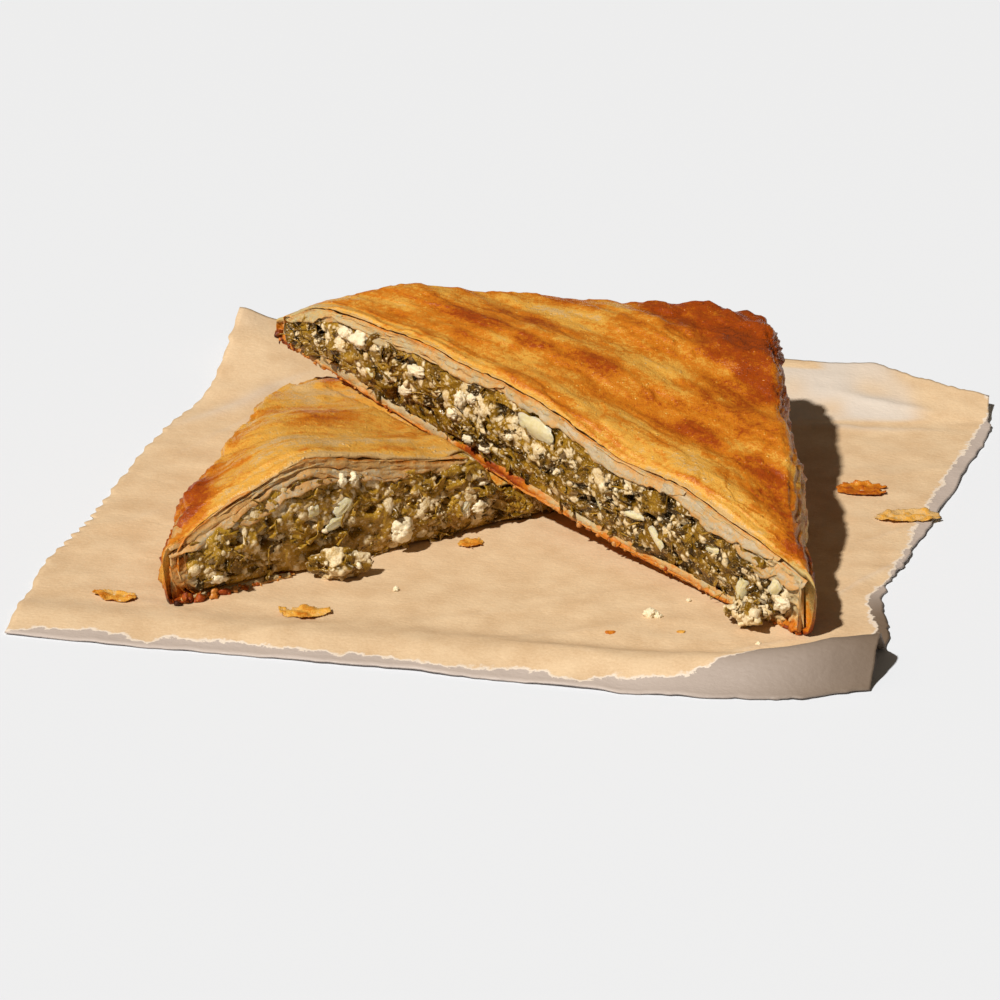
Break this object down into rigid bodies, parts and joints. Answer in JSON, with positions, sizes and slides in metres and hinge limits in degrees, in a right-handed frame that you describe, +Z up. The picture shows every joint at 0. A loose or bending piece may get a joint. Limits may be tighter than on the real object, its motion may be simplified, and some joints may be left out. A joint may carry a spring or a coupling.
{
  "type": "spanakopita pie",
  "caption": "Square spinach and feta filo pie cut on its diagonal, one half leaning on the other on a torn sheet of baking paper.",
  "frame": {"origin": "centre of the footprint of the baking paper, on the surface it lies on", "axes": "+Z up, +X to the right along the longer side of the paper, +Y to its back edge"},
  "size_m": [0.1996, 0.1874, 0.0342],
  "materials": {
    "baking_paper": "matt tan baking paper with torn pale edges",
    "crust": "oven-browned filo with a slight buttery sheen",
    "filling": "moist chopped spinach with white feta crumbs",
    "flake": "dry golden filo flake"
  },
  "bodies": {
    "root": {"baking_paper": "baking_paper", "lower_pastry": "crust", "lower_filling": "filling", "upper_pastry": "crust", "upper_filling": "filling", "fallen_filling": "filling", "spilled_filling": "filling", "flake_brown": "flake", "flake_golden": "flake", "flake_middle": "flake", "flake_cluster": "flake", "flake_left": "flake"}
  },
  "joints": []
}
